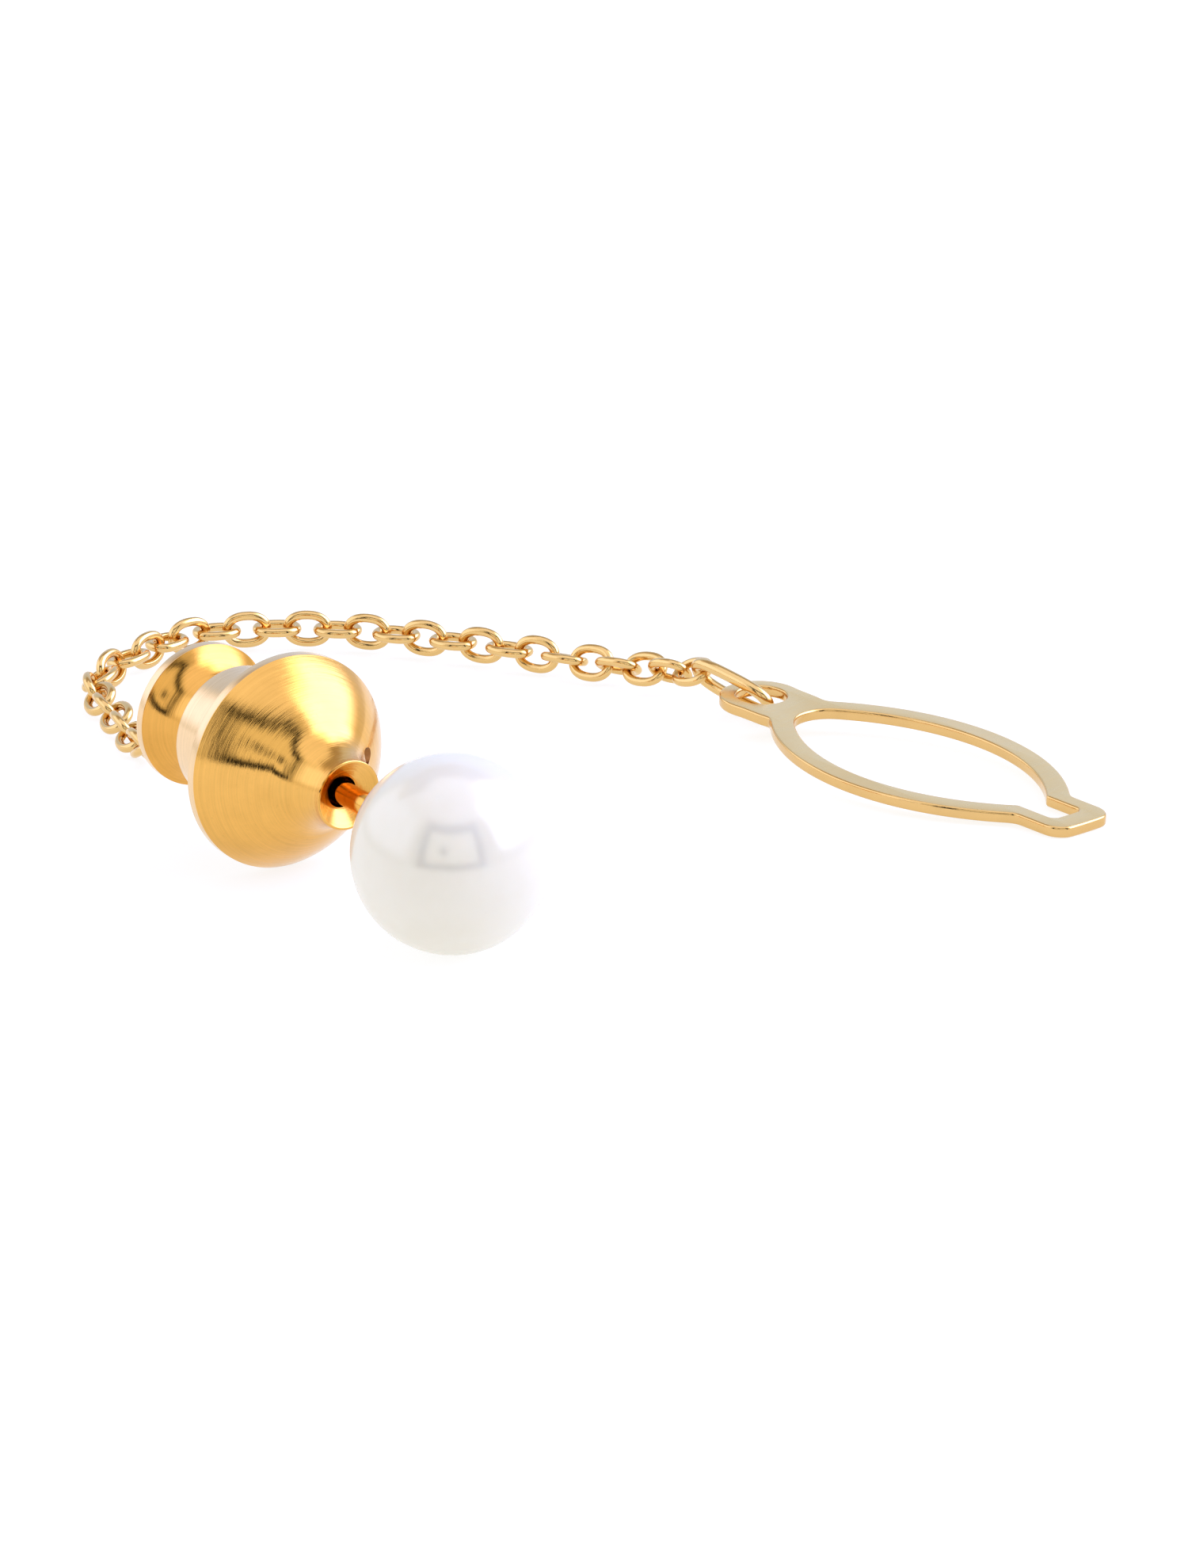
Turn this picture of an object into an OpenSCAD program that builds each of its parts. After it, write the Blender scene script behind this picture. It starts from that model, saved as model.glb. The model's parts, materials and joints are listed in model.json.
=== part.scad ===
// Pearl tie tack: a pearl on a plain post, held by a spring ball clutch, with a cable chain and
// a flat button loop. Millimetres, +Z up, lying on z = 0 with the chain laid out behind it.

/* [Pearl and pin] */
// Diameter of the pearl
pearl_d = 8; // [7:0.5:8.5]
// Diameter of the plain post
post_d = 0.96; // [0.9:0.02:1]
// Distance from the pearl's centre to the tip of the post
post_reach = 14.9; // [14.2:0.1:15]
// Diameter of the dished cup behind the pearl
cup_d = 3; // [2.4:0.1:3.4]
// Diameter of the peg glued into the pearl
peg_d = 0.8; // [0.6:0.1:0.8]
// Depth of the peg inside the pearl
peg_depth = 4.6; // [3.5:0.1:5.5]

/* [Clutch] */
// Distance from the pearl's centre to the mouth of the clutch
mouth_at = 7.4; // [6.5:0.1:7.6]
// Outer diameter of the mouth
mouth_d = 2.9; // [2.7:0.1:3.2]
// Diameter of the bore in the mouth
bore_d = 1.3; // [1.2:0.05:1.4]
// Diameter of the bell's rim
rim_d = 8.9; // [8.5:0.1:10]
// Length from the mouth to the back of the rim
bell_len = 4.9; // [4.7:0.1:5.1]
// Width of the plain band round the rim
rim_band = 0.42; // [0.3:0.02:0.6]
// Diameter of the barrel behind the bell
barrel_d = 5.6; // [5.2:0.1:6]
// Length of the barrel
barrel_len = 3.5; // [3.4:0.1:3.7]
// Diameter of the cross hole in the neck
vent_d = 0.65; // [0.5:0.05:0.8]

/* [Clutch works] */
// Diameter of a grip ball
ball_d = 1; // [0.9:0.02:1.02]
// Number of grip balls
ball_count = 3; // [3:1:3]
// Half angle of the cone that wedges the balls
wedge_deg = 10; // [9:1:12]
// Wire diameter of the spring
spring_wire = 0.2; // [0.16:0.02:0.22]
// Turns of the spring
spring_turns = 5; // [4:1:6]

/* [Pull knob] */
// Diameter of the knob's rim
knob_d = 5.94; // [5.4:0.1:6.2]
// Diameter of the knob's waist
waist_d = 3.7; // [3.4:0.1:4]
// Width of the knob's rim
knob_band = 0.42; // [0.3:0.02:0.5]
// Length of the knob
knob_len = 2.6; // [2.4:0.05:2.7]

/* [Chain] */
// Number of links
link_count = 37; // [37:1:37]
// Wire diameter of a link
link_wire = 0.38; // [0.34:0.01:0.4]
// Outer length of a link
link_len = 2.07; // [2.05:0.01:2.1]
// Outer width of a link
link_w = 1.58; // [1.52:0.01:1.62]
// Distance from one link to the next with the chain stretched
pitch = 1.28; // [1.26:0.01:1.28]
// Wire diameter of the jump ring
ring_wire = 0.5; // [0.46:0.01:0.52]
// Outer length of the jump ring
ring_len = 4.3; // [4.2:0.05:4.4]
// Outer width of the jump ring
ring_w = 2; // [1.96:0.01:2.05]

/* [Button loop] */
// Thickness of the flat stamping
loop_thick = 0.48; // [0.4:0.02:0.5]
// Width of the band round the oval
loop_band = 0.98; // [0.85:0.01:1.1]
// Outer width of the oval
loop_w = 8.8; // [8.4:0.1:9]
// Distance from the eye's centre to the middle of the oval
oval_at = 9.2; // [9.1:0.05:9.3]
// Length of the oval where it is as wide as the eye
oval_len = 13.8; // [13.6:0.1:14]
// Outer diameter of the eye
eye_d = 3.5; // [3.4:0.1:3.6]
// Diameter of the hole in the eye
eye_hole_d = 2.1; // [1.9:0.05:2.2]
// Width of the tip
tip_w = 3.2; // [3:0.1:3.4]
// Distance from the eye's centre to the end of the tip
tip_at = 18.85; // [18.7:0.05:19]
// Width of the slot in the tip
slot_w = 1.6; // [1.4:0.1:1.8]
// Distance from the eye's centre to the end of the slot
slot_at = 17.7; // [17.4:0.05:17.8]

/* [Hidden] */
smooth = 96;       // facets shown on round parts; the solids themselves are truly round
gap = 0.03;        // running clearance between a link and its neighbour
ball_gap = 0.02;   // clearance of a ball from the post and from the cone

pearl_r = pearl_d / 2;
post_r = post_d / 2;

// Stations along the clutch axis, measured from the pearl's centre
cup_at = sqrt(pow(pearl_r, 2) - pow(cup_d / 2, 2)) - 0.15;
cup_end = pearl_r + 0.3;
rim_at = mouth_at + bell_len;
barrel_end = rim_at + barrel_len;
cap_at = barrel_end - 0.8;
cone_start = mouth_at + 2.2;
cone_end = cone_start + 2.6;
cage_start = cone_start + 0.25;
seat_at = cone_end + 0.15;
seat_end = seat_at + 0.45;
knob_at = barrel_end + 0.1;
knob_end = knob_at + knob_len;
socket_end = knob_end - 0.5;
ball_at = mouth_at + 3.8;

// Radii of the works
cavity_r = 2.1;
seat_r = cavity_r - 0.12;
ball_path_r = post_r + ball_gap + ball_d / 2;
wedge_r = ball_path_r + (ball_d / 2 + ball_gap) / cos(wedge_deg);
socket_r = post_r + 0.08;
stem_r = socket_r + 0.5;
spring_r = stem_r + 0.15 + spring_wire / 2;
ball_turn = 360 / ball_count;

// The rim is wider than the pearl, so the clutch lies with its axis rising away from the pearl.
lean = asin((rim_d / 2 * cos(2.39) - pearl_r) / (rim_at - rim_band));
// Middle of the whole layout, measured from the point the pearl rests on
lay_x = -13.657;
lay_y = -16.686;

// Link shape
arc_r = (link_w - link_wire) / 2;
eyelet_wire = 0.44;
eyelet_r = 0.6;
eyelet_tip = knob_end + 0.985;   // middle of the eyelet's wire where the first link hangs
chain_from = eyelet_tip - (eyelet_wire + link_wire + gap) / 4 - 0.0225;

// The chain's route, by link number: its heading anticlockwise from +X, its slope, and the
// twist that its links take as they lie over to one side.
heading_at = [[1, 76], [7, 72], [12, 74], [14, 42], [16, 18], [18, 20], [20, -18],
              [24, -44], [26, -54], [29, -57], [33, -62.5], [35, -65], [37, -80]];
slope_at = [[1, -12], [2, -30], [4, -41.5], [5, -38.5], [6, -24], [7, -9], [8, 0], [13, 0], [14, 3],
            [16, 3], [17, 0], [29, 0], [30, -1.5], [31, -1.2], [32, 0], [34, 3.5], [35, 5], [37, 12.5]];
twist_at = [[1, 0], [6, -30], [12, -45], [16, -8], [18, 0], [29, 0], [31, -10], [34, -35], [37, -57]];

// Jump ring and button loop, where the chain ends
ring_heading = -72.3;
ring_slope = -12.5;
ring_roll = 122;
loop_heading = -80.4;
loop_lift = 0.83;        // the eye rests on the jump ring's wire, so the loop leans down to its tip
eye_offset = [0.25, -1.66];   // from the middle of the jump ring to the middle of the eye

function heading(k) = lookup(k, heading_at);
function slope(k) = lookup(k, slope_at);
// Odd links stand on edge and even links lie flat, before the twist
function roll(k) = (k % 2 == 1 ? 90 : 0) + lookup(k, twist_at);
function along(turn, rise) = [cos(turn) * cos(rise), sin(turn) * cos(rise), sin(rise)];
// Where link k meets link k + 1
function meet(k) = k == 0 ? [0, chain_from * cos(lean), pearl_r + chain_from * sin(lean)]
                          : meet(k - 1) + pitch * along(heading(k), slope(k));
function link_centre(k) = meet(k - 1) + pitch / 2 * along(heading(k), slope(k));

ring_back = (link_wire + ring_wire + 2 * gap) / 4 + 0.06;
ring_tip = meet(link_count) - ring_back * along(ring_heading, ring_slope);
ring_centre = ring_tip + (ring_len - ring_wire) / 2 * along(ring_heading, ring_slope);
loop_lean = asin(loop_lift / tip_at);
eye_centre = [ring_centre[0] + eye_offset[0], ring_centre[1] + eye_offset[1]];

// Outline of the button loop: two large arcs meet in a pointed oval
oval_rise = loop_w / 2 - eye_d / 2;
oval_r = (pow(oval_len / 2, 2) + pow(oval_rise, 2)) / (2 * oval_rise);

link_names = [for (k = [1:link_count]) str("chain_link_", k < 10 ? "0" : "", k)];

gold = [0.9, 0.72, 0.36];
pale_gold = [0.88, 0.8, 0.62];
steel = [0.75, 0.75, 0.77];
nacre = [0.96, 0.93, 0.91];

// Lays the object out round the origin
module laid_out() {
    translate([lay_x, lay_y, 0]) children();
}

// Turns a part drawn along +Z from the pearl's centre on to the clutch axis
module on_axis() {
    laid_out() translate([0, 0, pearl_r]) rotate([lean - 90, 0, 0]) children();
}

// A tube drawn along +Z
module tube(from, to, outer, inner) {
    translate([0, 0, from]) difference() {
        cylinder(h = to - from, r = outer, $fn = smooth);
        translate([0, 0, -1]) cylinder(h = to - from + 2, r = inner, $fn = smooth);
    }
}

// A closed oval of round wire, lying in XY with its length along X
module oval_ring(length, width, wire) {
    r = (width - wire) / 2;
    half = (length - wire) / 2 - r;
    for (side = [-1, 1]) {
        translate([0, side * r, 0]) rotate([0, 90, 0])
            cylinder(h = 2 * half, d = wire, center = true, $fn = 32);
        translate([side * half, 0, 0]) rotate([0, 0, side * 90 - 180])
            rotate_extrude(angle = 180, $fn = 64) translate([r, 0]) circle(d = wire, $fn = 32);
    }
}

module pearl() {
    color(nacre) on_axis() difference() {
        sphere(r = pearl_r, $fn = smooth);
        translate([0, 0, pearl_r - peg_depth]) cylinder(h = peg_depth + 1, d = peg_d, $fn = 48);
        translate([0, 0, cup_at]) cylinder(h = 2, d = cup_d, $fn = smooth);
    }
}

// The peg runs from the bottom of the pearl's hole to the cup
module pearl_peg() {
    color(gold) on_axis() translate([0, 0, pearl_r - peg_depth])
        cylinder(h = cup_at - pearl_r + peg_depth, d = peg_d, $fn = 48);
}

// A shallow cup, seated on a flat ground on the pearl
module pearl_cup() {
    color(gold) on_axis() translate([0, 0, cup_at]) rotate_extrude($fn = smooth)
        polygon([[0, 0], [cup_d / 2, 0], [cup_d / 2, 0.18], [post_r + 0.35, cup_end - cup_at],
                 [0, cup_end - cup_at]]);
}

module post() {
    point = 0.9;
    color(gold) on_axis() rotate_extrude($fn = smooth)
        polygon([[0, cup_end], [post_r, cup_end], [post_r, post_reach - point],
                 [0.1, post_reach], [0, post_reach]]);
}

// One turned piece: bell, neck, barrel and the bore with its wedging cone
module clutch_shell() {
    sink = 0.5;
    color(gold) on_axis() difference() {
        translate([0, 0, mouth_at]) union() {
            bell_body();
            translate([0, 0, bell_len - 0.01]) cylinder(h = barrel_len + 0.01, d = barrel_d, $fn = smooth);
        }
        translate([0, 0, mouth_at - 1]) cylinder(h = cone_start - mouth_at + 2, d = bore_d, $fn = smooth);
        // the countersink runs on past the mouth at the same angle
        translate([0, 0, mouth_at - sink])
            cylinder(h = 2 * sink, r1 = mouth_d - 0.2 - bore_d / 2, r2 = bore_d / 2, $fn = smooth);
        wedge_cavity();
        translate([0, 0, mouth_at + 1.95]) rotate([0, 0, -16]) rotate([0, 90, 0])
            cylinder(h = 4, d = vent_d, $fn = 48);
    }
}

// The bell flares out from a thin lip in a hollow curve, then swells to its rim
module bell_body() {
    lip = mouth_d / 2;
    rim = rim_d / 2;
    lip_len = 0.12;
    flare_r = 2.6;
    flare_deg = 52;
    join = [lip + flare_r * (1 - cos(flare_deg)), lip_len + flare_r * sin(flare_deg)];
    edge = [rim, bell_len - rim_band];
    inward = [-cos(flare_deg), sin(flare_deg)];
    dome_r = (edge - join) * (edge - join) / (2 * ((edge - join) * inward));
    rotate_extrude($fn = smooth) {
        difference() {
            polygon([[0, 0], [lip, 0], [lip, lip_len], join, edge, [rim, bell_len], [0, bell_len]]);
            translate([lip + flare_r, lip_len]) circle(r = flare_r, $fn = 240);
        }
        intersection() {
            translate(join + inward * dome_r) circle(r = dome_r, $fn = 360);
            translate(join) square(edge - join);
        }
    }
}

// The space inside the shell: a cone that tightens towards the mouth, then the spring chamber
module wedge_cavity() {
    slope_in = tan(wedge_deg);
    r_small = wedge_r - slope_in * (ball_at - cone_start);
    r_large = wedge_r + slope_in * (cone_end - ball_at);
    translate([0, 0, cone_start])
        cylinder(h = cone_end - cone_start, r1 = r_small, r2 = r_large, $fn = smooth);
    translate([0, 0, cone_end])
        cylinder(h = barrel_end - cone_end + 1, r = cavity_r, $fn = smooth);
}

// A ring pressed into the end of the barrel, which guides the stem and backs the spring
module rear_cap() {
    color(pale_gold) on_axis() tube(cap_at, barrel_end, cavity_r, stem_r + 0.06);
}

// A tube with a window for each ball, a spring seat, and the stem that carries the knob
module ball_cage() {
    window_d = ball_d + 0.08;
    color(gold) on_axis() difference() {
        union() {
            translate([0, 0, cage_start]) cylinder(h = knob_at - cage_start, r = stem_r, $fn = smooth);
            translate([0, 0, seat_at]) cylinder(h = seat_end - seat_at, r = seat_r, $fn = smooth);
        }
        translate([0, 0, cage_start - 1])
            cylinder(h = knob_at - cage_start + 2, r = socket_r, $fn = smooth);
        for (i = [0:ball_count - 1])
            translate([0, 0, ball_at]) rotate([0, 0, i * ball_turn + 90]) rotate([0, 90, 0])
                cylinder(h = 3, d = window_d, $fn = 48);
    }
}

// Ball i, in its window, just clear of the post
module grip_ball(i) {
    color(steel) on_axis() rotate([0, 0, (i - 1) * ball_turn + 90])
        translate([ball_path_r, 0, ball_at]) sphere(d = ball_d, $fn = 64);
}

// A coil made of half turns, each leaning so that its end meets the next one's start
module clutch_spring() {
    room = cap_at - seat_end;
    climb = (room - spring_wire - 0.04) / (2 * spring_turns);
    tilt = asin(climb / (2 * spring_r));
    color(steel) on_axis() translate([0, 0, seat_end + 0.02 + spring_wire / 2])
        for (i = [0:2 * spring_turns - 1])
            translate([0, 0, climb * (i + 0.5)]) rotate([0, i % 2 == 0 ? tilt : -tilt, 0])
                rotate([0, 0, i % 2 * 180]) rotate_extrude(angle = 180, $fn = smooth)
                    translate([spring_r, 0]) circle(d = spring_wire, $fn = 24);
}

// The knob: a waist hidden behind the barrel, swept out in a cove to a thin rim
module pull_knob() {
    waist = waist_d / 2;
    rim = knob_d / 2;
    hub_len = 0.35;
    rim_from = knob_len - knob_band;
    cove_r = (pow(rim - waist, 2) + pow(rim_from - hub_len, 2)) / (2 * (rim - waist));
    color(gold) on_axis() difference() {
        translate([0, 0, knob_at]) rotate_extrude($fn = smooth) difference() {
            polygon([[0, 0], [waist, 0], [waist, hub_len], [rim, rim_from], [rim, knob_len], [0, knob_len]]);
            translate([waist + cove_r, hub_len]) circle(r = cove_r, $fn = 240);
        }
        translate([0, 0, knob_at - 1]) cylinder(h = socket_end - knob_at + 1, r = socket_r, $fn = smooth);
    }
}

// A staple of wire let into the back of the knob
module chain_eyelet() {
    leg = eyelet_tip - eyelet_r - knob_end;
    color(gold) on_axis() translate([0, 0, knob_end]) {
        for (side = [-1, 1])
            translate([side * eyelet_r, 0, 0]) cylinder(h = leg, d = eyelet_wire, $fn = 32);
        translate([0, 0, leg]) rotate([90, 0, 0])
            rotate_extrude(angle = 180, $fn = 64)
                translate([eyelet_r, 0]) circle(d = eyelet_wire, $fn = 32);
    }
}

module chain_link(k) {
    color(gold) laid_out() translate(link_centre(k)) rotate([0, -slope(k), heading(k)])
        rotate([roll(k), 0, 0]) oval_ring(link_len, link_w, link_wire);
}

module jump_ring() {
    color(gold) laid_out() translate(ring_centre) rotate([0, -ring_slope, ring_heading])
        rotate([ring_roll, 0, 0]) oval_ring(ring_len, ring_w, ring_wire);
}

// A pointed oval: where two circles of radius r overlap by width w, with its length along X
module pointed_oval(r, w) {
    intersection() {
        translate([0, r - w / 2]) circle(r = r, $fn = 240);
        translate([0, w / 2 - r]) circle(r = r, $fn = 240);
    }
}

// A bar from x = from to x = to whose far corners are rounded
module round_ended(from, to, width, corner) {
    translate([from, -width / 2]) square([to - corner - from, width]);
    translate([from, -width / 2 + corner]) square([to - from, width - 2 * corner]);
    for (side = [-1, 1])
        translate([to - corner, side * (width / 2 - corner)]) circle(r = corner, $fn = 64);
}

module button_loop_outline() {
    inner_from = 2.62;
    neck_to = 1.95;
    // the oval opening: two arcs, and a smaller arc that rounds the end beside the eye
    in_r = oval_r - loop_band;
    in_half = loop_w / 2 - loop_band;
    reach = oval_at - inner_from;
    end_r = (pow(in_r, 2) - pow(reach, 2) - pow(in_r - in_half, 2)) / (2 * (in_r - reach));
    end_x = inner_from + end_r;
    touch_x = end_x - end_r * (oval_at - end_x) / (in_r - end_r);
    difference() {
        union() {
            intersection() {
                translate([oval_at, 0]) pointed_oval(oval_r, loop_w);
                translate([0.9, -loop_w]) square([slot_at - 1.3, 2 * loop_w]);
            }
            circle(d = eye_d, $fn = 96);
            translate([0, -eye_d / 2 + 0.05]) square([neck_to, eye_d - 0.1]);
            round_ended(oval_at + 6.5, tip_at, tip_w, 0.95);
        }
        intersection() {
            translate([oval_at, 0]) pointed_oval(in_r, 2 * in_half);
            union() {
                translate([touch_x, -loop_w]) square([slot_at - touch_x - 1, 2 * loop_w]);
                translate([end_x, 0]) circle(r = end_r, $fn = 120);
            }
        }
        round_ended(oval_at, slot_at, slot_w, 0.35);
        circle(d = eye_hole_d, $fn = 96);
    }
}

module button_loop() {
    color(pale_gold) laid_out() translate([eye_centre[0], eye_centre[1], loop_lift])
        rotate([0, loop_lean, loop_heading]) linear_extrude(loop_thick) button_loop_outline();
}

pearl();
pearl_peg();
pearl_cup();
post();
clutch_shell();
rear_cap();
ball_cage();
clutch_spring();
pull_knob();
chain_eyelet();
jump_ring();
button_loop();
for (i = [1:ball_count]) grip_ball(i);
for (k = [1:link_count]) chain_link(k);
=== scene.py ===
"""Looks for the pearl tie tack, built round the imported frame. Blender units are metres."""
import json
import math

import bmesh
import bpy
from mathutils import Matrix, Vector, noise


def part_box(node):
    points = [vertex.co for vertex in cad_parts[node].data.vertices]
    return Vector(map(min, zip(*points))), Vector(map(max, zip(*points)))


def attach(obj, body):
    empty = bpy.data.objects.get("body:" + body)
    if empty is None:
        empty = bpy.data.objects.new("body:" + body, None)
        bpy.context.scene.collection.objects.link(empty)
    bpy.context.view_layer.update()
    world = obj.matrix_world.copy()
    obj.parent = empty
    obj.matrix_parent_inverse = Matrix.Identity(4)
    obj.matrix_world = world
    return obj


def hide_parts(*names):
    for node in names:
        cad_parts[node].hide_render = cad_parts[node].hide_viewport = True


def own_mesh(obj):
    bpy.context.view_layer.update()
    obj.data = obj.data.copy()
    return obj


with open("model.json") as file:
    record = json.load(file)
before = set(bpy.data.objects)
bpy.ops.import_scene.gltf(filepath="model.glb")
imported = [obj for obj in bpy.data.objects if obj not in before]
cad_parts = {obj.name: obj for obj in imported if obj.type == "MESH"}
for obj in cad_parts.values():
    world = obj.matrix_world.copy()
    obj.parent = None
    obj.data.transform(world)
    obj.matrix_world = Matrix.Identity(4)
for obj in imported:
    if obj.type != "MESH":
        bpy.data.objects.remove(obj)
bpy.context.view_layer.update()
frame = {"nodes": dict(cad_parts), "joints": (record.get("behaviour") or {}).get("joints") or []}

MM = 0.001
joints = {j["name"]: j for j in frame["joints"]}
nodes = frame["nodes"]

# ---------------------------------------------------------------- places read from the frame

axis = Vector(joints["knob_slide"]["axis"]).normalized()
low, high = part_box("pearl")
PEARL_R = (high.x - low.x) / 2 / MM
pearl_centre = Vector(((low.x + high.x) / 2, low.y + PEARL_R * MM, (low.z + high.z) / 2))
side = Vector((1, 0, 0))
# from the clutch's own axes, at the pearl's centre with Z along the post, to the row frame
ON_AXIS = Matrix.Translation(pearl_centre) @ Matrix((side, axis.cross(side), axis)).transposed().to_4x4()


# ---------------------------------------------------------------- node materials


class Nodes:
    """A short way to write a node tree: sockets in, sockets out."""

    def __init__(self, tree):
        self.tree = tree
        self.tree.nodes.clear()

    def new(self, kind, settings=None, **sockets):
        node = self.tree.nodes.new("ShaderNode" + kind)
        for key, value in (settings or {}).items():
            setattr(node, key, value)
        for key, value in sockets.items():
            self.feed(node.inputs[key.replace("_", " ")], value)
        return node

    def feed(self, socket, value):
        if isinstance(value, bpy.types.NodeSocket):
            self.tree.links.new(value, socket)
        else:
            socket.default_value = value

    def math(self, operation, a, b=None, c=None, clamp=False):
        node = self.new("Math", {"operation": operation, "use_clamp": clamp})
        for socket, value in zip(node.inputs, (a, b, c)):
            if value is not None:
                self.feed(socket, value)
        return node.outputs[0]

    def dot(self, vector, constant):
        node = self.new("VectorMath", {"operation": "DOT_PRODUCT"})
        self.feed(node.inputs[0], vector)
        node.inputs[1].default_value = constant
        return node.outputs["Value"]

    def ramp_between(self, value, low, high, out_low=0.0, out_high=1.0):
        node = self.new("MapRange", {"interpolation_type": "SMOOTHSTEP"})
        self.feed(node.inputs["Value"], value)
        self.feed(node.inputs["From Min"], low)
        self.feed(node.inputs["From Max"], high)
        self.feed(node.inputs["To Min"], out_low)
        self.feed(node.inputs["To Max"], out_high)
        return node.outputs[0]

    def window(self, value, low, high, soft):
        """1 between low and high, falling to 0 over soft on either side."""
        up = self.ramp_between(value, low - soft, low + soft)
        down = self.ramp_between(value, high - soft, high + soft, 1.0, 0.0)
        return self.math("MULTIPLY", up, down)

    def mix_colour(self, factor, a, b):
        node = self.new("Mix", {"data_type": "RGBA"})
        self.feed(node.inputs["Factor"], factor)
        self.feed(node.inputs[6], a)
        self.feed(node.inputs[7], b)
        return node.outputs[2]

    def noise(self, vector, scale, detail=2.0, roughness=0.5):
        node = self.new("TexNoise", None, Scale=scale, Detail=detail, Roughness=roughness)
        self.feed(node.inputs["Vector"], vector)
        return node.outputs["Fac"]


def new_material(name, place=None, **principled):
    """A material with its shader, and coordinates in millimetres along the piece's own axes."""
    material = bpy.data.materials.new(name)
    material.use_nodes = True
    n = Nodes(material.node_tree)
    shader = n.new("BsdfPrincipled", None, **principled)
    output = n.new("OutputMaterial")
    material.node_tree.links.new(shader.outputs[0], output.inputs[0])
    metres = n.new("TexCoord").outputs["Object"]
    place = place or Matrix.Identity(4)
    where = n.new("Mapping", {"vector_type": "TEXTURE"}, Vector=metres, Location=place.translation,
                  Rotation=place.to_euler(), Scale=(MM, MM, MM)).outputs[0]
    return material, n, shader, where


def bumped(n, shader, height, micrometres):
    bump = n.new("Bump", None, Strength=1.0, Distance=micrometres * 1e-6, Height=height)
    n.feed(shader.inputs["Normal"], bump.outputs["Normal"])


def turned_gold(name, colour, roughness, line_depth, smear):
    """Polished gold with fine lines left by turning, which run round the piece's local Z axis."""
    material, n, shader, where = new_material(name, ON_AXIS, Metallic=1.0)
    parts = n.new("SeparateXYZ", None, Vector=where)
    squares = [n.math("POWER", parts.outputs[i], 2.0) for i in (0, 1)]
    radius = n.math("SQRT", n.math("ADD", *squares))
    drift = n.math("MULTIPLY", n.math("ADD", parts.outputs[0], parts.outputs[1]), 0.02)
    rings = n.new("CombineXYZ", None, X=radius, Y=parts.outputs[2], Z=drift).outputs[0]
    fine = n.noise(rings, 12.0, 4.0, 0.72)
    coarse = n.noise(rings, 4.0, 2.0, 0.5)
    patches = n.noise(where, 0.6, 3.0, 0.6)
    specks = n.noise(where, 7.0, 3.0, 0.7)
    dark = [c * 0.84 for c in colour]
    pale = [min(1.0, c * 1.06 + 0.01) for c in colour]
    tone = n.math("MULTIPLY_ADD", n.math("SUBTRACT", fine, 0.5), 1.2, patches, clamp=True)
    tone = n.math("SUBTRACT", tone, n.ramp_between(specks, 0.6, 0.75, 0.0, 0.3), clamp=True)
    n.feed(shader.inputs["Base Color"], n.mix_colour(tone, (*dark, 1), (*pale, 1)))
    rough = n.math("MULTIPLY_ADD", fine, roughness * 0.6, roughness * 0.7)
    rough = n.math("ADD", rough, n.ramp_between(specks, 0.58, 0.75, 0.0, smear))
    n.feed(shader.inputs["Roughness"], rough)
    bumped(n, shader, n.math("ADD", fine, n.math("MULTIPLY", coarse, 0.9)), line_depth)
    return material


def wire_gold(name, colour, roughness):
    """Drawn and tumbled gold wire: bright, with faint waviness and a few dull specks."""
    material, n, shader, where = new_material(name, Metallic=1.0)
    patches = n.noise(where, 0.9, 2.0, 0.6)
    specks = n.noise(where, 8.0, 3.0, 0.6)
    dark = [c * 0.88 for c in colour]
    n.feed(shader.inputs["Base Color"], n.mix_colour(patches, (*dark, 1), (*colour, 1)))
    n.feed(shader.inputs["Roughness"], n.ramp_between(specks, 0.3, 0.75, roughness * 0.7, roughness * 1.6))
    bumped(n, shader, n.noise(where, 3.0, 3.0, 0.55), 8.0)
    return material


def satin_gold(name, place, colour):
    """Stamped plate with a satin face: fine lines across it and a soft, uneven polish."""
    material, n, shader, where = new_material(name, place, Metallic=1.0)
    across = n.new("Mapping", None, Vector=where, Scale=(1.0, 0.1, 1.0)).outputs[0]
    lines = n.noise(across, 11.0, 3.0, 0.65)
    patches = n.noise(where, 0.5, 3.0, 0.6)
    dents = n.noise(where, 0.8, 2.0, 0.5)
    dark = [c * 0.9 for c in colour]
    n.feed(shader.inputs["Base Color"], n.mix_colour(patches, (*dark, 1), (*colour, 1)))
    n.feed(shader.inputs["Roughness"], n.ramp_between(lines, 0.25, 0.75, 0.26, 0.38))
    bumped(n, shader, n.math("ADD", lines, n.math("MULTIPLY", dents, 5.0)), 0.45)
    return material


def nacre(name):
    """White cultured pearl: a milky body under a soft, lustrous skin."""
    material, n, shader, where = new_material(
        name,
        ON_AXIS,
        IOR=2.4,
        Specular_Tint=(1.0, 0.94, 0.76, 1.0),
        Subsurface_Weight=0.35,
        Subsurface_Radius=(1.0, 0.75, 0.6),
        Subsurface_Scale=0.0006,
        Sheen_Weight=0.1,
        Sheen_Roughness=0.4,
    )
    clouds = n.noise(where, 0.35, 3.0, 0.55)
    grain = n.noise(where, 9.0, 3.0, 0.6)
    pits = n.ramp_between(n.noise(where, 1.7, 1.0, 0.4), 0.22, 0.3, 0.0, 1.0)
    body = n.mix_colour(n.ramp_between(clouds, 0.3, 0.7), (0.755, 0.72, 0.625, 1), (0.78, 0.75, 0.67, 1))
    n.feed(shader.inputs["Base Color"], body)
    n.feed(shader.inputs["Roughness"], n.ramp_between(clouds, 0.25, 0.75, 0.15, 0.19))
    height = n.math("ADD", n.math("MULTIPLY", grain, 0.12), n.math("MULTIPLY", clouds, 3.0))
    bumped(n, shader, n.math("ADD", height, pits), 3.0)
    return material


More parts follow.
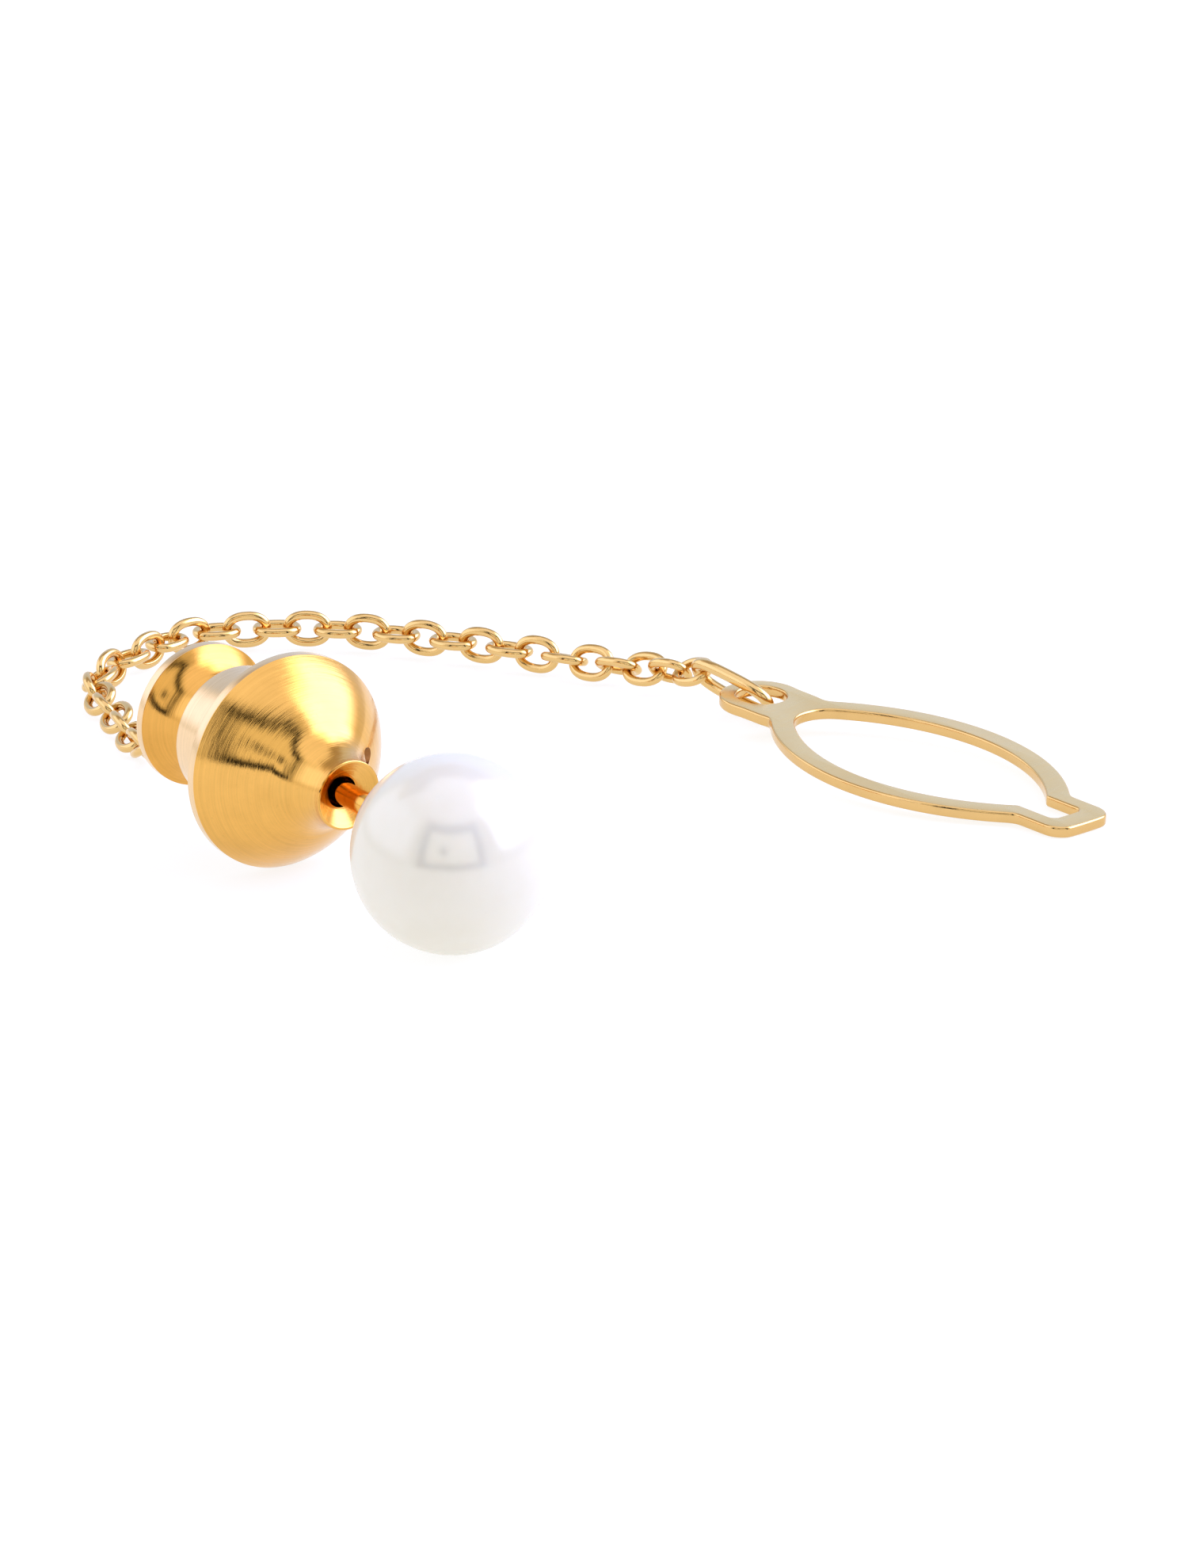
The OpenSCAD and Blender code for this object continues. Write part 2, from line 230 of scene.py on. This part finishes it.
def steel(name):
    material, n, shader, where = new_material(name, Metallic=1.0)
    marks = n.noise(where, 3.0, 2.0)
    n.feed(shader.inputs["Base Color"], n.mix_colour(marks, (0.5, 0.5, 0.52, 1), (0.62, 0.62, 0.64, 1)))
    n.feed(shader.inputs["Roughness"], n.ramp_between(marks, 0.3, 0.7, 0.16, 0.28))
    bumped(n, shader, marks, 3.0)
    return material


shell_gold = turned_gold("shell_gold", (0.82, 0.45, 0.105), 0.075, 7.5, 0.16)
# the knob's gold is a little darker than the shell's: painted shade for its cove, which lies in the
# barrel's shade
knob_shade_gold = turned_gold("knob_shade_gold", (0.8, 0.41, 0.085), 0.1, 6.5, 0.12)
# the bands' paler gold is painted reflection: it stands in for the bright light the rim, barrel and knob
# rim reflect
band_reflection_gold = turned_gold("band_reflection_gold", (0.88, 0.63, 0.36), 0.13, 4.0, 0.1)
# near-black gold for the cross hole's wall: painted shade inside the hole
hole_shade_gold = turned_gold("hole_shade_gold", (0.3, 0.12, 0.03), 0.4, 2.0, 0.2)
post_gold = turned_gold("post_gold", (0.86, 0.45, 0.09), 0.1, 1.5, 0.12)
chain_gold = wire_gold("chain_gold", (0.82, 0.54, 0.21), 0.12)
ring_gold = wire_gold("ring_gold", (0.82, 0.55, 0.22), 0.12)
edge_gold = wire_gold("edge_gold", (0.78, 0.5, 0.19), 0.11)
frame_gold = wire_gold("frame_gold", (0.93, 0.6, 0.2), 0.16)
pearl_nacre = nacre("pearl_nacre")
polished_steel = steel("polished_steel")


# ---------------------------------------------------------------- mesh helpers


def finish_mesh(name, mesh, place, material, body, replaced, sharp):
    """Takes a mesh in millimetres to its place in metres, smooths it, and has it ride a body.

    Edges that turn by more than sharp degrees stay sharp.
    """
    mesh.transform(place @ Matrix.Scale(MM, 4))
    for polygon in mesh.polygons:
        polygon.use_smooth = True
    obj = bpy.data.objects.new(name, mesh)
    bpy.context.scene.collection.objects.link(obj)
    mesh.materials.append(material)
    mesh.set_sharp_from_angle(angle=math.radians(sharp))
    weighted = obj.modifiers.new("weighted", "WEIGHTED_NORMAL")
    weighted.keep_sharp = True
    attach(obj, body)
    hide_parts(*replaced)
    return obj


def arc_points(centre, radius, start, stop, steps):
    """Points on an arc, angles in degrees."""
    return [
        (centre[0] + radius * math.cos(math.radians(start + (stop - start) * i / steps)),
         centre[1] + radius * math.sin(math.radians(start + (stop - start) * i / steps)))
        for i in range(steps + 1)
    ]


def rounded(points):
    """Points are (x, y) or (x, y, radius): a corner with a radius becomes a short arc."""
    out = []
    count = len(points)
    for i, point in enumerate(points):
        here = Vector(point[:2])
        radius = point[2] if len(point) > 2 else 0.0
        if radius <= 0:
            out.append(tuple(here))
            continue
        before = (Vector(points[i - 1][:2]) - here).normalized()
        after = (Vector(points[(i + 1) % count][:2]) - here).normalized()
        angle = before.angle(after)
        reach = radius / math.tan(angle / 2)
        centre = here + (before + after).normalized() * (radius / math.sin(angle / 2))
        first, last = here + before * reach, here + after * reach
        a = math.atan2(first.y - centre.y, first.x - centre.x)
        b = math.atan2(last.y - centre.y, last.x - centre.x)
        turn = (b - a + math.pi) % (2 * math.pi) - math.pi
        steps = 5
        for s in range(steps + 1):
            t = a + turn * s / steps
            out.append((centre.x + radius * math.cos(t), centre.y + radius * math.sin(t)))
    return out


def lathe(name, profile, body, material, replaced, segments=224, closed=True, shape=None,
          band=None):
    """Revolves (radius, height) points round local Z. A point on the axis becomes a pole.

    shape moves each vertex afterwards. band is a second material and a test of (radius, height)
    that says which faces get it.
    """
    bm = bmesh.new()
    rings = []
    for radius, height in profile:
        if radius < 1e-6:
            rings.append([bm.verts.new((0, 0, height))])
            continue
        ring = []
        for s in range(segments):
            t = 2 * math.pi * s / segments
            ring.append(bm.verts.new((radius * math.cos(t), radius * math.sin(t), height)))
        rings.append(ring)
    pairs = list(zip(rings, rings[1:]))
    if closed:
        pairs.append((rings[-1], rings[0]))
    for a, b in pairs:
        if len(a) == 1 and len(b) == 1:
            continue
        for s in range(segments):
            t = (s + 1) % segments
            if len(a) == 1:
                bm.faces.new((a[0], b[s], b[t]))
            elif len(b) == 1:
                bm.faces.new((a[s], b[0], a[t]))
            else:
                bm.faces.new((a[s], b[s], b[t], a[t]))
    if shape:
        for v in bm.verts:
            v.co = shape(v.co)
    bmesh.ops.recalc_face_normals(bm, faces=bm.faces)
    mesh = bpy.data.meshes.new(name)
    bm.to_mesh(mesh)
    bm.free()
    banded = []
    if band:
        banded = [p.index for p in mesh.polygons if band[1](math.hypot(p.center.x, p.center.y), p.center.z)]
    obj = finish_mesh(name, mesh, ON_AXIS, material, body, replaced, sharp=21)
    if band:
        mesh.materials.append(band[0])
        for index in banded:
            mesh.polygons[index].material_index = 1
    return obj


def tube_mesh(name, path, radius, closed=True, sides=28):
    """Sweeps a round wire along a path; the path's own plane keeps the section from twisting."""
    bm = bmesh.new()
    count = len(path)
    rings = []
    normal = None
    for i in range(count):
        if closed:
            ahead, behind = path[(i + 1) % count], path[i - 1]
        else:
            ahead, behind = path[min(i + 1, count - 1)], path[max(i - 1, 0)]
        tangent = (ahead - behind).normalized()
        if normal is None:
            normal = tangent.orthogonal().normalized()
        normal = (normal - tangent * normal.dot(tangent)).normalized()
        other = tangent.cross(normal)
        rings.append([
            bm.verts.new(path[i] + radius * (normal * math.cos(t) + other * math.sin(t)))
            for t in (2 * math.pi * s / sides for s in range(sides))
        ])
    pairs = list(zip(rings, rings[1:])) + ([(rings[-1], rings[0])] if closed else [])
    for a, b in pairs:
        for s in range(sides):
            t = (s + 1) % sides
            bm.faces.new((a[s], a[t], b[t], b[s]))
    if not closed:
        bm.faces.new(list(reversed(rings[0])))
        bm.faces.new(rings[-1])
    bmesh.ops.recalc_face_normals(bm, faces=bm.faces)
    mesh = bpy.data.meshes.new(name)
    bm.to_mesh(mesh)
    bm.free()
    return mesh


def oval_path(length, width, fullness, steps=64):
    """Centre line of a bent wire link: an oval a little fuller than an ellipse, in XY."""
    path = []
    for i in range(steps):
        t = 2 * math.pi * i / steps
        c, d = math.cos(t), math.sin(t)
        path.append(Vector((
            math.copysign(abs(c) ** (2 / fullness), c) * length / 2,
            math.copysign(abs(d) ** (2 / fullness), d) * width / 2,
            0,
        )))
    return path


# ---------------------------------------------------------------- pearl and pin

# in millimetres from here on: radii, and places along the post from the pearl's centre
CUP_R, CUP_END, CUP_NECK_R = 1.5, 4.3, 0.83
cup_at = math.sqrt(PEARL_R ** 2 - CUP_R ** 2) - 0.15
PEG_R, PEG_FROM = 0.4, -0.6   # the hole for the peg


def off_round(co):
    """A cultured pearl is never quite a sphere: about a hundredth of a millimetre of waviness."""
    if co.length < PEARL_R * 0.95:
        return co
    wave = noise.noise(co * 0.32) * 0.005 + noise.noise(co * 1.1 + Vector((7, 3, 1))) * 0.001
    return co * (1 - 0.002 + wave)


recess = math.degrees(math.asin(math.sqrt(PEARL_R ** 2 - CUP_R ** 2) / PEARL_R))
pearl_profile = [(max(r, 0.0), z) for r, z in arc_points((0, 0), PEARL_R, -90, recess, 150)]
pearl_profile[0] = (0.0, -PEARL_R)
pearl_profile += [(CUP_R, cup_at), (PEG_R, cup_at), (PEG_R, PEG_FROM), (0.0, PEG_FROM)]
lathe("pearl_skin", pearl_profile, "pin", pearl_nacre, ["pearl"], closed=False, shape=off_round)

cup = rounded([
    (0, cup_at + 0.002), (CUP_R - 0.01, cup_at + 0.002, 0.04), (CUP_R - 0.01, cup_at + 0.2, 0.06),
    (CUP_NECK_R, CUP_END, 0.1), (0, CUP_END),
])
lathe("cup_dish", cup, "pin", post_gold, ["pearl_cup"], closed=False)

POST_R, POST_TIP = 0.48, 14.9
shank = rounded([
    (0, CUP_END), (POST_R, CUP_END), (POST_R, POST_TIP - 0.9, 0.4), (0.1, POST_TIP, 0.06), (0, POST_TIP),
])
lathe("post_shank", shank, "pin", post_gold, ["post"], segments=96, closed=False)

# ---------------------------------------------------------------- clutch

MOUTH, LIP, LIP_LEN = 7.4, 1.45, 0.12
RIM, RIM_FACE, RIM_BACK = 4.45, 11.88, 12.3
BARREL_R, BARREL_END, CAVITY_R = 2.8, 15.8, 2.1
BORE_R = 0.65
CONE_FROM, CONE_END, CONE_NARROW, CONE_WIDE = 9.6, 12.2, 1.246, 1.704   # wedges the balls
FLARE_R, FLARE_DEG = 2.6, 52.0
flare = math.radians(FLARE_DEG)
join = Vector((LIP + FLARE_R * (1 - math.cos(flare)), MOUTH + LIP_LEN + FLARE_R * math.sin(flare)))
edge = Vector((RIM, RIM_FACE))
inward = Vector((-math.cos(flare), math.sin(flare)))
dome_r = (edge - join).length_squared / (2 * (edge - join).dot(inward))
dome = join + inward * dome_r
dome_from = math.degrees(math.atan2(join.y - dome.y, join.x - dome.x))
dome_to = math.degrees(math.atan2(edge.y - dome.y, edge.x - dome.x))
shell = [(BORE_R, MOUTH + 0.5), (LIP - 0.1, MOUTH), (LIP - 0.03, MOUTH), (LIP, MOUTH + 0.03)]
shell += arc_points((LIP + FLARE_R, MOUTH + LIP_LEN), FLARE_R, 180, 180 - FLARE_DEG, 40)
shell += arc_points(dome, dome_r, dome_from, dome_to, 40)[1:-1]
shell += rounded([
    (RIM - 0.3, RIM_FACE - 0.52), (RIM, RIM_FACE, 0.025), (RIM, RIM_BACK, 0.03), (BARREL_R, RIM_BACK),
])[1:]
shell += rounded([
    (BARREL_R, RIM_BACK + 0.1), (BARREL_R, BARREL_END, 0.08), (CAVITY_R, BARREL_END), (CAVITY_R, CONE_END),
])
shell += [(CONE_WIDE, CONE_END), (CONE_NARROW, CONE_FROM), (BORE_R, CONE_FROM)]


# faces that get the paler gold of painted reflection
def on_rim_or_barrel(r, z):
    return (r > RIM - 0.02 and z > RIM_FACE) or (r > BARREL_R - 0.03 and z > RIM_BACK)


shell_piece = lathe("clutch_bell", shell, "clutch", shell_gold, ["clutch_shell"],
                    band=(band_reflection_gold, on_rim_or_barrel))

# cross hole in the neck, through one wall
HOLE_R, HOLE_AT, HOLE_TURN = 0.325, MOUTH + 1.95, math.radians(-16)
cutter = bpy.data.meshes.new("cutter")
bm = bmesh.new()
bmesh.ops.create_cone(bm, cap_ends=True, segments=64, radius1=HOLE_R, radius2=HOLE_R, depth=4.0)
bm.to_mesh(cutter)
bm.free()
hole = bpy.data.objects.new("cutter", cutter)
bpy.context.scene.collection.objects.link(hole)
hole.matrix_world = (
    ON_AXIS @ Matrix.Scale(MM, 4) @ Matrix.Translation((0, 0, HOLE_AT))
    @ Matrix.Rotation(HOLE_TURN, 4, "Z") @ Matrix.Rotation(math.radians(90), 4, "Y")
    @ Matrix.Translation((0, 0, 2.6))
)
cut = shell_piece.modifiers.new("cut", "BOOLEAN")
cut.operation, cut.solver, cut.object = "DIFFERENCE", "EXACT", hole
shell_piece.modifiers.move(1, 0)
bpy.context.view_layer.update()
evaluated = shell_piece.evaluated_get(bpy.context.evaluated_depsgraph_get())
bored = bpy.data.meshes.new_from_object(evaluated)
shell_piece.modifiers.clear()
shell_piece.data = bored
# the drilled wall gets painted shade: a dark gold for the inside of the hole
bored.materials.append(hole_shade_gold)
to_hole = hole.matrix_world.inverted()
for polygon in bored.polygons:
    radii = [math.hypot(*(to_hole @ bored.vertices[v].co).xy) for v in polygon.vertices]
    if all(abs(r - HOLE_R) < 0.004 for r in radii):
        polygon.material_index = len(bored.materials) - 1
bpy.data.objects.remove(hole)

# pull knob: a waist swept out in a cove to a thin rim
KNOB_AT, KNOB_END, KNOB_R, WAIST = 15.9, 18.5, 2.97, 1.85
STEM_R, STEM_HOLE_END = 0.56, KNOB_END - 0.5
COVE_FROM, COVE_TO = KNOB_AT + 0.35, KNOB_END - 0.42
cove_r = ((KNOB_R - WAIST) ** 2 + (COVE_TO - COVE_FROM) ** 2) / (2 * (KNOB_R - WAIST))
cove_to = 180 - math.degrees(math.asin((COVE_TO - COVE_FROM) / cove_r))
knob = [(STEM_R, KNOB_AT)]
knob += rounded([(0.7, KNOB_AT), (WAIST, KNOB_AT, 0.06), (WAIST, COVE_FROM)])[1:-1]
knob += arc_points((WAIST + cove_r, COVE_FROM), cove_r, 180, cove_to, 36)[:-1]
knob += rounded([
    (KNOB_R - 0.2, COVE_TO - 0.2), (KNOB_R, COVE_TO, 0.03), (KNOB_R, KNOB_END, 0.06), (0, KNOB_END),
])[1:]
knob += [(0.0, STEM_HOLE_END), (STEM_R, STEM_HOLE_END)]
lathe("knob_turned", knob, "plunger", knob_shade_gold, ["pull_knob"],
      band=(band_reflection_gold, lambda r, z: r > KNOB_R - 0.02 and z > COVE_TO))

# staple for the chain
STAPLE_R, STAPLE_TIP, STAPLE_WIRE_R = 0.6, KNOB_END + 0.985, 0.22
leg = STAPLE_TIP - STAPLE_R
staple = [Vector((STAPLE_R, 0, KNOB_END - 0.02))]
staple += [Vector((x, 0, z)) for x, z in arc_points((0, leg), STAPLE_R, 0, 180, 28)]
staple += [Vector((-STAPLE_R, 0, KNOB_END - 0.02))]
finish_mesh("staple_wire", tube_mesh("staple_wire", staple, STAPLE_WIRE_R, closed=False), ON_AXIS,
            frame_gold, "plunger", ["chain_eyelet"], sharp=50)

# spring inside the barrel
SPRING_R, SPRING_WIRE_R, SPRING_FROM, TURNS = 1.31, 0.1, 12.92, 5
CAP_AT = 15.0
steps = 28 * TURNS
coil = []
for i in range(steps + 1):
    t = 2 * math.pi * TURNS * i / steps
    rise = SPRING_FROM + (CAP_AT - 0.12 - SPRING_FROM) * i / steps
    coil.append(Vector((SPRING_R * math.cos(t), SPRING_R * math.sin(t), rise)))
spring = finish_mesh("spring_coil", tube_mesh("spring_coil", coil, SPRING_WIRE_R, closed=False, sides=12),
                     ON_AXIS, polished_steel, "clutch", ["clutch_spring"], sharp=50)
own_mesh(spring)

# the works that keep their CAD shape
CARRIED_OVER = {"rear_cap": frame_gold, "ball_cage": frame_gold, "pearl_peg": frame_gold}
CARRIED_OVER.update({f"grip_ball_{i}": polished_steel for i in (1, 2, 3)})
for name, material in CARRIED_OVER.items():
    nodes[name].data.materials.clear()
    nodes[name].data.materials.append(material)

# ---------------------------------------------------------------- chain


def oval_place(node):
    """Where a CAD oval ring lies: its centre, its long axis and the axis across it."""
    points = [Vector(v.co) for v in nodes[node].data.vertices]
    mean = sum(points, Vector()) / len(points)
    spread = [[sum((p - mean)[i] * (p - mean)[j] for p in points) for j in range(3)] for i in range(3)]
    axes = principal_axes(Matrix(spread))
    centre = Vector()
    for a in axes:
        along = [p.dot(a) for p in points]
        centre += a * (min(along) + max(along)) / 2
    return centre, axes


def principal_axes(m):
    """Eigenvectors of a symmetric matrix, longest first, by Jacobi rotations."""
    v = Matrix.Identity(3)
    for _ in range(40):
        p, q = max(((0, 1), (0, 2), (1, 2)), key=lambda ij: abs(m[ij[0]][ij[1]]))
        if abs(m[p][q]) < 1e-20:
            break
        theta = 0.5 * math.atan2(2 * m[p][q], m[q][q] - m[p][p])
        r = Matrix.Identity(3)
        r[p][p] = r[q][q] = math.cos(theta)
        r[p][q], r[q][p] = math.sin(theta), -math.sin(theta)
        m = r.transposed() @ m @ r
        v = v @ r
    order = sorted(range(3), key=lambda i: -m[i][i])
    axes = [v.col[i].normalized() for i in order]
    if axes[0].cross(axes[1]).dot(axes[2]) < 0:
        axes[2] = -axes[2]
    return axes


def oval_wire(name, node, body, length, width, wire, material, fullness):
    centre, axes = oval_place(node)
    place = Matrix.Translation(centre) @ Matrix(axes).transposed().to_4x4()
    mesh = tube_mesh(name, oval_path(length - wire, width - wire, fullness), wire / 2)
    finish_mesh(name, mesh, place, material, body, [node], sharp=60)


# FULLNESS is 2 for an ellipse and more for a squarer oval
LINKS, LINK_LEN, LINK_W, LINK_WIRE, LINK_FULLNESS = 37, 2.07, 1.58, 0.38, 2.3
RING_LEN, RING_W, RING_WIRE, RING_FULLNESS = 4.3, 2.0, 0.5, 2.9
for k in range(1, LINKS + 1):
    oval_wire(f"cable_link_{k:02d}", f"chain_link_{k:02d}", f"link_{k:02d}", LINK_LEN, LINK_W, LINK_WIRE,
              chain_gold, LINK_FULLNESS)
oval_wire("long_jump_ring", "jump_ring", "ring", RING_LEN, RING_W, RING_WIRE, ring_gold, RING_FULLNESS)

# ---------------------------------------------------------------- button loop

THICK, BAND, OVAL_W, OVAL_AT, OVAL_LEN = 0.48, 0.98, 8.8, 9.2, 13.8
EYE_R, EYE_HOLE, TIP_HALF, TIP_AT, SLOT_HALF, SLOT_AT = 1.75, 1.05, 1.6, 18.85, 0.8, 17.7
INNER_FROM, NECK_TO, OVAL_FROM = 2.62, 1.95, 0.9
OVAL_RISE = OVAL_W / 2 - EYE_R
OVAL_R = ((OVAL_LEN / 2) ** 2 + OVAL_RISE ** 2) / (2 * OVAL_RISE)
IN_R, IN_HALF = OVAL_R - BAND, OVAL_W / 2 - BAND
reach = OVAL_AT - INNER_FROM
END_R = (IN_R ** 2 - reach ** 2 - (IN_R - IN_HALF) ** 2) / (2 * (IN_R - reach))
TIP_CORNER, SLOT_CORNER = 0.95, 0.35


def bow(s, radius, half):
    """Half-width of a pointed oval at s."""
    d = s - OVAL_AT
    return math.sqrt(max(radius ** 2 - d ** 2, 0)) - (radius - half)


def rounded_end(s, end, half, corner):
    if s > end:
        return -1.0
    if s <= end - corner:
        return half
    return half - corner + math.sqrt(max(corner ** 2 - (s - end + corner) ** 2, 0))


def outer_half(s):
    w = [math.sqrt(EYE_R ** 2 - s ** 2)] if abs(s) < EYE_R else [0.0]
    if 0 <= s <= NECK_TO:
        w.append(EYE_R - 0.05)
    if OVAL_FROM <= s <= SLOT_AT - 0.4:
        w.append(bow(s, OVAL_R, OVAL_W / 2))
    if s >= OVAL_AT + 6.5:
        w.append(rounded_end(s, TIP_AT, TIP_HALF, TIP_CORNER))
    return max(w)


def inner_half(s):
    w = [0.0]
    end_x = INNER_FROM + END_R
    touch = end_x - END_R * (OVAL_AT - end_x) / (IN_R - END_R)
    if s < touch:
        w.append(math.sqrt(max(END_R ** 2 - (s - end_x) ** 2, 0)))
    elif s <= SLOT_AT:
        w.append(bow(s, IN_R, IN_HALF))
    if s >= OVAL_AT:
        w.append(rounded_end(s, SLOT_AT, SLOT_HALF, SLOT_CORNER))
    return max(w)


def outline(half, start, stop, steps):
    """A closed outline from its half-width; steps crowd together towards both ends."""
    crowd = 0.9
    stations = []
    for i in range(steps + 1):
        u = i / steps
        eased = (1 - math.cos(math.pi * u)) / 2
        stations.append(start + (stop - start) * (eased * crowd + u * (1 - crowd)))
    top = [(s, half(s)) for s in stations]
    return top + [(s, -h) for s, h in reversed(top[1:-1])]


def relaxed(points, passes):
    """Rounds off the concave corners slightly, as tumbling does."""
    for _ in range(passes):
        points = [
            tuple((Vector(points[i - 1]) + 2 * Vector(p) + Vector(points[(i + 1) % len(points)])) / 4)
            for i, p in enumerate(points)
        ]
    return points


EDGE = 0.11   # radius of the plate's tumbled edges
curve = bpy.data.curves.new("button_loop_outline", "CURVE")
curve.dimensions = "2D"
curve.fill_mode = "BOTH"
curve.extrude = THICK / 2 - EDGE
curve.bevel_depth = EDGE
curve.bevel_resolution = 3
curve.offset = -EDGE
eye_ring = arc_points((0, 0), EYE_HOLE, 0, 360, 72)[:-1]
for points in (relaxed(outline(outer_half, -EYE_R, TIP_AT, 300), 14),
               relaxed(outline(inner_half, INNER_FROM, SLOT_AT, 240), 2), eye_ring):
    spline = curve.splines.new("POLY")
    spline.points.add(len(points) - 1)
    for p, (x, y) in zip(spline.points, points):
        p.co = (x, y, 0, 1)
    spline.use_cyclic_u = True
temp = bpy.data.objects.new("button_loop_outline", curve)
bpy.context.scene.collection.objects.link(temp)
bpy.context.view_layer.update()
plate = bpy.data.meshes.new_from_object(temp.evaluated_get(bpy.context.evaluated_depsgraph_get()))
bpy.data.objects.remove(temp)
bm = bmesh.new()
bm.from_mesh(plate)
bmesh.ops.remove_doubles(bm, verts=bm.verts, dist=0.0005)
bmesh.ops.recalc_face_normals(bm, faces=bm.faces)
bm.to_mesh(plate)
bm.free()

# the plate lies as the CAD plate does: the eye rests on the jump ring and the tip on the table
points = [Vector(v.co) for v in nodes["button_loop"].data.vertices]
LOOP_HEADING, EYE_LIFT = math.radians(-80.4), 0.83
lean = math.asin(EYE_LIFT / TIP_AT)
level_x, level_y = math.cos(LOOP_HEADING), math.sin(LOOP_HEADING)
run = Vector((level_x * math.cos(lean), level_y * math.cos(lean), -math.sin(lean)))
across = Vector((-level_y, level_x, 0))
up = run.cross(across)
eye_centre = run * (max(p.dot(run) for p in points) - TIP_AT * MM)
for direction in (across, up):
    along = [p.dot(direction) for p in points]
    eye_centre += direction * (min(along) + max(along)) / 2
LOOP_PLACE = Matrix.Translation(eye_centre) @ Matrix((run, across, up)).transposed().to_4x4()
plate.materials.clear()
loop_gold = satin_gold("loop_gold", LOOP_PLACE, (0.95, 0.71, 0.34))
edges = [p.index for p in plate.polygons if abs(p.normal.z) < 0.93]
finish_mesh("loop_plate", plate, LOOP_PLACE, loop_gold, "loop", ["button_loop"], sharp=60)
plate.materials.append(edge_gold)
for index in edges:
    plate.polygons[index].material_index = 1

# ---------------------------------------------------------------- floor, camera and light

FLOOR_R, FLOOR_DROP = 4.0, 0.00002   # metres; the drop keeps it clear of the pieces that lie on it
floor_mesh = bpy.data.meshes.new("floor")
bm = bmesh.new()
bmesh.ops.create_circle(bm, cap_ends=True, segments=96, radius=FLOOR_R)
bm.to_mesh(floor_mesh)
bm.free()
floor = bpy.data.objects.new("floor", floor_mesh)
bpy.context.scene.collection.objects.link(floor)
floor.location.z = -FLOOR_DROP
floor_material, n, shader, where = new_material("white_table", Roughness=0.8)
shader.inputs["Specular IOR Level"].default_value = 0.1
shader.inputs["Emission Color"].default_value = (1, 1, 1, 1)
shader.inputs["Emission Strength"].default_value = 0.8
grain = n.noise(where, 0.04, 2.0)
n.feed(shader.inputs["Base Color"], n.mix_colour(grain, (0.23, 0.23, 0.23, 1), (0.25, 0.25, 0.25, 1)))
floor_mesh.materials.append(floor_material)

AZIMUTH, ELEVATION = math.radians(34.0), math.radians(18.9)
right = Vector((math.cos(AZIMUTH), -math.sin(AZIMUTH), 0))
ahead = Vector((math.sin(AZIMUTH), math.cos(AZIMUTH), 0))
forward = ahead * math.cos(ELEVATION) - Vector((0, 0, math.sin(ELEVATION)))
upward = right.cross(forward)
DISTANCE = 0.5
LENS, SENSOR = 387.6, 36.0
# the camera looks past the pearl, which lies left of and below the middle of the picture
PAST_RIGHT, PAST_UP = 0.005557, 0.002709
camera = bpy.data.objects.new("camera", bpy.data.cameras.new("camera"))
bpy.context.scene.collection.objects.link(camera)
camera.data.sensor_fit = "HORIZONTAL"
camera.data.sensor_width = SENSOR
camera.data.lens = LENS
camera.data.clip_start, camera.data.clip_end = 0.01, 20.0
camera.location = pearl_centre - forward * DISTANCE + right * PAST_RIGHT + upward * PAST_UP
camera.rotation_euler = Matrix((right, upward, -forward)).transposed().to_euler()
bpy.context.scene.camera = camera

# a light tent: bright to the right and above, softer to the left, and a dark surround to the
# opening that the camera's starting place looks in through
world = bpy.data.worlds.new("tent")
bpy.context.scene.world = world
world.use_nodes = True
n = Nodes(world.node_tree)
direction = n.new("TexCoord").outputs["Generated"]
to_right = n.dot(direction, right)
to_back = n.dot(direction, ahead)
to_up = n.dot(direction, (0, 0, 1))
height = n.math("MULTIPLY", n.math("ARCSINE", to_up), 180 / math.pi)
# degrees round the object: bearing is 0 behind it, turned is 0 at the camera's starting place
bearing = n.math("MULTIPLY", n.math("ARCTAN2", to_right, to_back), 180 / math.pi)
to_front = n.math("MULTIPLY", to_back, -1.0)
turned = n.math("MULTIPLY", n.math("ARCTAN2", to_right, to_front), 180 / math.pi)


def patch(angle, a, b, lo, hi, soft):
    """A soft-edged area of the tent, in degrees: a to b round it, lo to hi above the horizon."""
    return n.math("MULTIPLY", n.window(angle, a, b, soft), n.window(height, lo, hi, soft))


def add_light(total, mask, level):
    return n.math("MULTIPLY_ADD", mask, level, total)


light = n.ramp_between(height, -10, 40, 0.9, 0.85)
hot = patch(bearing, 44, 118, 14, 62, 9.0)
left_side = patch(bearing, -128, -46, 6, 50, 8.0)
overhead = n.window(height, 54, 120, 5.0)
peach = patch(bearing, -70, 40, 40, 64, 5.0)
dark_back = patch(bearing, -40, 30, 4, 42, 7.0)
overhead = n.math("MULTIPLY", overhead, n.math("SUBTRACT", 1.0, peach), clamp=True)
light = add_light(light, hot, 2.3)
light = add_light(light, left_side, 0.55)
light = add_light(light, overhead, 0.35)
surround = patch(turned, -40, 40, -15, 51, 1.6)
opening = patch(turned, -30, 30, 7, 41, 1.6)
surround = n.math("SUBTRACT", surround, opening, clamp=True)
spot = patch(turned, -14, -4, 16, 26, 1.5)   # a small dark thing in the opening
light = add_light(light, opening, 0.2)
dark = n.math("ADD", surround, spot, clamp=True)
light = n.math("MULTIPLY", light, n.math("SUBTRACT", 1.0, n.math("MULTIPLY", peach, 0.4)))
light = n.math("MULTIPLY", light, n.math("SUBTRACT", 1.0, n.math("MULTIPLY", dark, 0.97)))
tint = n.mix_colour(dark_back, (1.0, 0.99, 0.98, 1), (0.84, 0.96, 1.25, 1))
tint = n.mix_colour(hot, tint, (1.0, 1.1, 1.85, 1))
tint = n.mix_colour(left_side, tint, (1.0, 1.05, 1.3, 1))
tint = n.mix_colour(overhead, tint, (1.0, 1.0, 1.15, 1))
tint = n.mix_colour(peach, tint, (1.0, 0.88, 0.78, 1))
background = n.new("Background", None, Color=tint, Strength=light)
world.node_tree.links.new(background.outputs[0], n.new("OutputWorld").inputs[0])

bpy.context.scene.view_settings.view_transform = "Standard"
